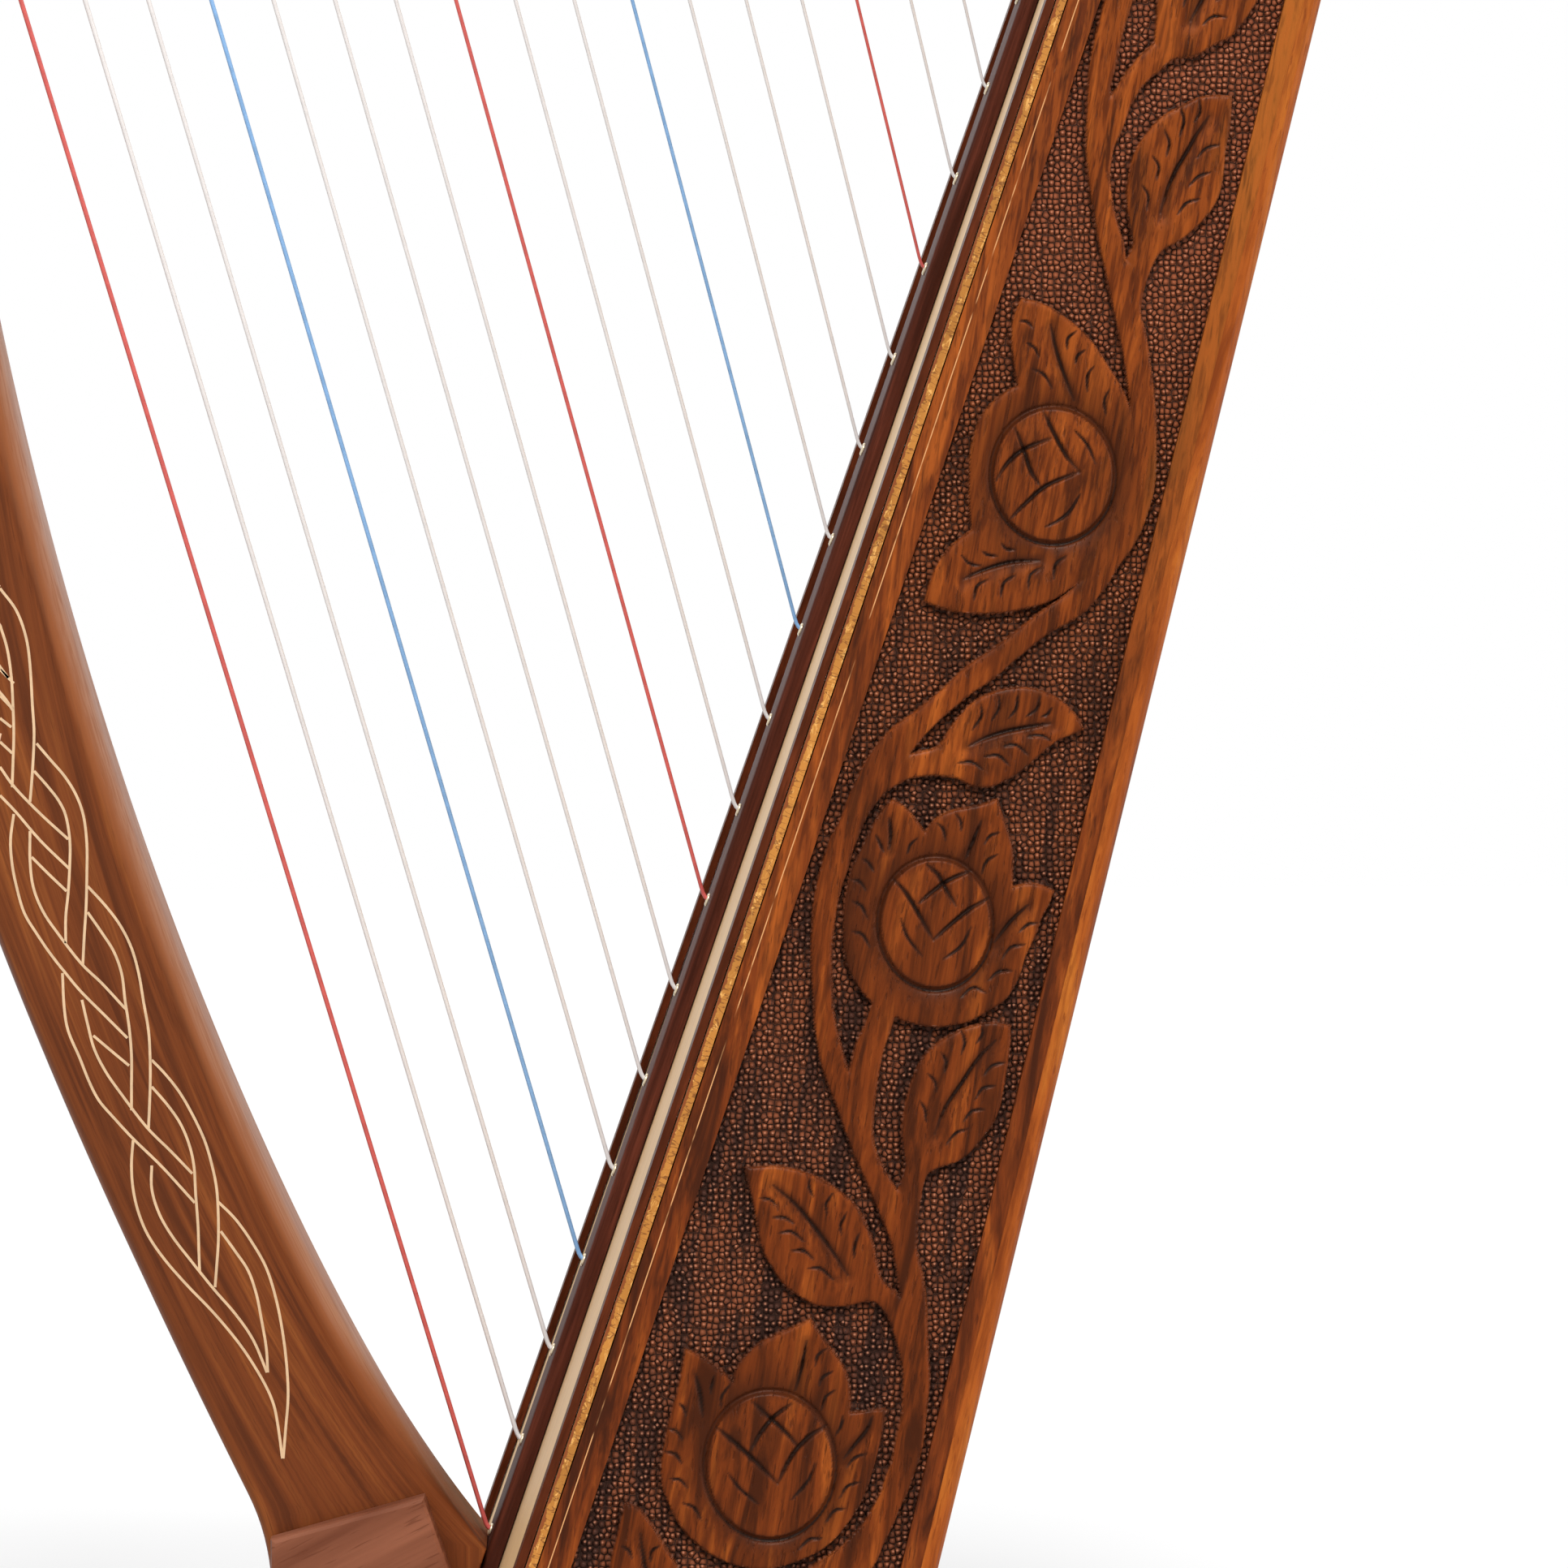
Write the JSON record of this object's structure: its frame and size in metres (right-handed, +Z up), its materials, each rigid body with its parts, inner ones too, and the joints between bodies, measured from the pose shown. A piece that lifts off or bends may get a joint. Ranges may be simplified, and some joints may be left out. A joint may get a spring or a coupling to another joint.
{
  "type": "frame harp",
  "caption": "Small carved frame harp that stands on its own base, with a curved pillar, a harmonic-curve neck, a tapered sound box and nylon strings on turning pins.",
  "frame": {"origin": "bottom centre of the bounding box, on the surface that the base stands on", "axes": "+Z up; the pillar is towards -X and the sound box towards +X; the strings are tied on the -Y side of the neck"},
  "size_m": [0.4308, 0.3064, 0.7317],
  "materials": {
    "walnut": "oiled and polished dark reddish walnut",
    "spruce": "pale ply soundboard under satin varnish",
    "rosewood": "near-black hardwood, polished",
    "inner_wood": "plain unfinished wood inside the box",
    "pin_steel": "nickel-plated steel",
    "nylon_clear": "clear nylon string",
    "nylon_red": "red nylon string",
    "nylon_blue": "blue nylon string"
  },
  "bodies": {
    "frame": {"pillar": "walnut", "neck": "walnut", "soundboard": "spruce", "string_rib": "rosewood", "inner_rib": "inner_wood", "edge_trim_left": "rosewood", "edge_trim_right": "rosewood", "side_left": "walnut", "side_right": "walnut", "back_panel": "walnut", "back_brace_1": "inner_wood", "back_brace_2": "inner_wood", "base": "walnut", "top_block": "walnut", "base_cheek_left": "walnut", "base_cheek_right": "walnut", "string_01": "nylon_red", "string_02": "nylon_clear", "string_03": "nylon_clear", "string_04": "nylon_blue", "string_05": "nylon_clear", "string_06": "nylon_clear", "string_07": "nylon_clear", "string_08": "nylon_red", "string_09": "nylon_clear", "string_10": "nylon_clear", "string_11": "nylon_blue", "string_12": "nylon_clear", "string_13": "nylon_clear", "string_14": "nylon_clear", "string_15": "nylon_red", "string_16": "nylon_clear", "string_17": "nylon_clear", "string_18": "nylon_blue", "string_19": "nylon_clear", "string_20": "nylon_clear", "string_21": "nylon_clear", "string_22": "nylon_red"},
    "pin_01": {"tuning_pin_01": "pin_steel"},
    "pin_02": {"tuning_pin_02": "pin_steel"},
    "pin_03": {"tuning_pin_03": "pin_steel"},
    "pin_04": {"tuning_pin_04": "pin_steel"},
    "pin_05": {"tuning_pin_05": "pin_steel"},
    "pin_06": {"tuning_pin_06": "pin_steel"},
    "pin_07": {"tuning_pin_07": "pin_steel"},
    "pin_08": {"tuning_pin_08": "pin_steel"},
    "pin_09": {"tuning_pin_09": "pin_steel"},
    "pin_10": {"tuning_pin_10": "pin_steel"},
    "pin_11": {"tuning_pin_11": "pin_steel"},
    "pin_12": {"tuning_pin_12": "pin_steel"},
    "pin_13": {"tuning_pin_13": "pin_steel"},
    "pin_14": {"tuning_pin_14": "pin_steel"},
    "pin_15": {"tuning_pin_15": "pin_steel"},
    "pin_16": {"tuning_pin_16": "pin_steel"},
    "pin_17": {"tuning_pin_17": "pin_steel"},
    "pin_18": {"tuning_pin_18": "pin_steel"},
    "pin_19": {"tuning_pin_19": "pin_steel"},
    "pin_20": {"tuning_pin_20": "pin_steel"},
    "pin_21": {"tuning_pin_21": "pin_steel"},
    "pin_22": {"tuning_pin_22": "pin_steel"}
  },
  "joints": [
    {"name": "tuning_pin_01_turn", "type": "hinge", "parent": "frame", "child": "pin_01", "pos_m": [-0.18987, 0, 0.66738], "axis": [0, -1, 0], "continuous": true},
    {"name": "tuning_pin_02_turn", "type": "hinge", "parent": "frame", "child": "pin_02", "pos_m": [-0.17314, 0, 0.66519], "axis": [0, -1, 0], "continuous": true},
    {"name": "tuning_pin_03_turn", "type": "hinge", "parent": "frame", "child": "pin_03", "pos_m": [-0.15631, 0, 0.6621], "axis": [0, -1, 0], "continuous": true},
    {"name": "tuning_pin_04_turn", "type": "hinge", "parent": "frame", "child": "pin_04", "pos_m": [-0.13946, 0, 0.65843], "axis": [0, -1, 0], "continuous": true},
    {"name": "tuning_pin_05_turn", "type": "hinge", "parent": "frame", "child": "pin_05", "pos_m": [-0.12269, 0, 0.65445], "axis": [0, -1, 0], "continuous": true},
    {"name": "tuning_pin_06_turn", "type": "hinge", "parent": "frame", "child": "pin_06", "pos_m": [-0.10608, 0, 0.65043], "axis": [0, -1, 0], "continuous": true},
    {"name": "tuning_pin_07_turn", "type": "hinge", "parent": "frame", "child": "pin_07", "pos_m": [-0.08969, 0, 0.64662], "axis": [0, -1, 0], "continuous": true},
    {"name": "tuning_pin_08_turn", "type": "hinge", "parent": "frame", "child": "pin_08", "pos_m": [-0.07358, 0, 0.64322], "axis": [0, -1, 0], "continuous": true},
    {"name": "tuning_pin_09_turn", "type": "hinge", "parent": "frame", "child": "pin_09", "pos_m": [-0.05779, 0, 0.64041], "axis": [0, -1, 0], "continuous": true},
    {"name": "tuning_pin_10_turn", "type": "hinge", "parent": "frame", "child": "pin_10", "pos_m": [-0.04237, 0, 0.63836], "axis": [0, -1, 0], "continuous": true},
    {"name": "tuning_pin_11_turn", "type": "hinge", "parent": "frame", "child": "pin_11", "pos_m": [-0.02734, 0, 0.63719], "axis": [0, -1, 0], "continuous": true},
    {"name": "tuning_pin_12_turn", "type": "hinge", "parent": "frame", "child": "pin_12", "pos_m": [-0.01271, 0, 0.63701], "axis": [0, -1, 0], "continuous": true},
    {"name": "tuning_pin_13_turn", "type": "hinge", "parent": "frame", "child": "pin_13", "pos_m": [0.0015, 0, 0.63788], "axis": [0, -1, 0], "continuous": true},
    {"name": "tuning_pin_14_turn", "type": "hinge", "parent": "frame", "child": "pin_14", "pos_m": [0.01528, 0, 0.63986], "axis": [0, -1, 0], "continuous": true},
    {"name": "tuning_pin_15_turn", "type": "hinge", "parent": "frame", "child": "pin_15", "pos_m": [0.02865, 0, 0.64298], "axis": [0, -1, 0], "continuous": true},
    {"name": "tuning_pin_16_turn", "type": "hinge", "parent": "frame", "child": "pin_16", "pos_m": [0.0416, 0, 0.64727], "axis": [0, -1, 0], "continuous": true},
    {"name": "tuning_pin_17_turn", "type": "hinge", "parent": "frame", "child": "pin_17", "pos_m": [0.05415, 0, 0.65272], "axis": [0, -1, 0], "continuous": true},
    {"name": "tuning_pin_18_turn", "type": "hinge", "parent": "frame", "child": "pin_18", "pos_m": [0.06631, 0, 0.65931], "axis": [0, -1, 0], "continuous": true},
    {"name": "tuning_pin_19_turn", "type": "hinge", "parent": "frame", "child": "pin_19", "pos_m": [0.0781, 0, 0.66702], "axis": [0, -1, 0], "continuous": true},
    {"name": "tuning_pin_20_turn", "type": "hinge", "parent": "frame", "child": "pin_20", "pos_m": [0.08954, 0, 0.67581], "axis": [0, -1, 0], "continuous": true},
    {"name": "tuning_pin_21_turn", "type": "hinge", "parent": "frame", "child": "pin_21", "pos_m": [0.10065, 0, 0.68565], "axis": [0, -1, 0], "continuous": true},
    {"name": "tuning_pin_22_turn", "type": "hinge", "parent": "frame", "child": "pin_22", "pos_m": [0.11145, 0, 0.69649], "axis": [0, -1, 0], "continuous": true}
  ]
}
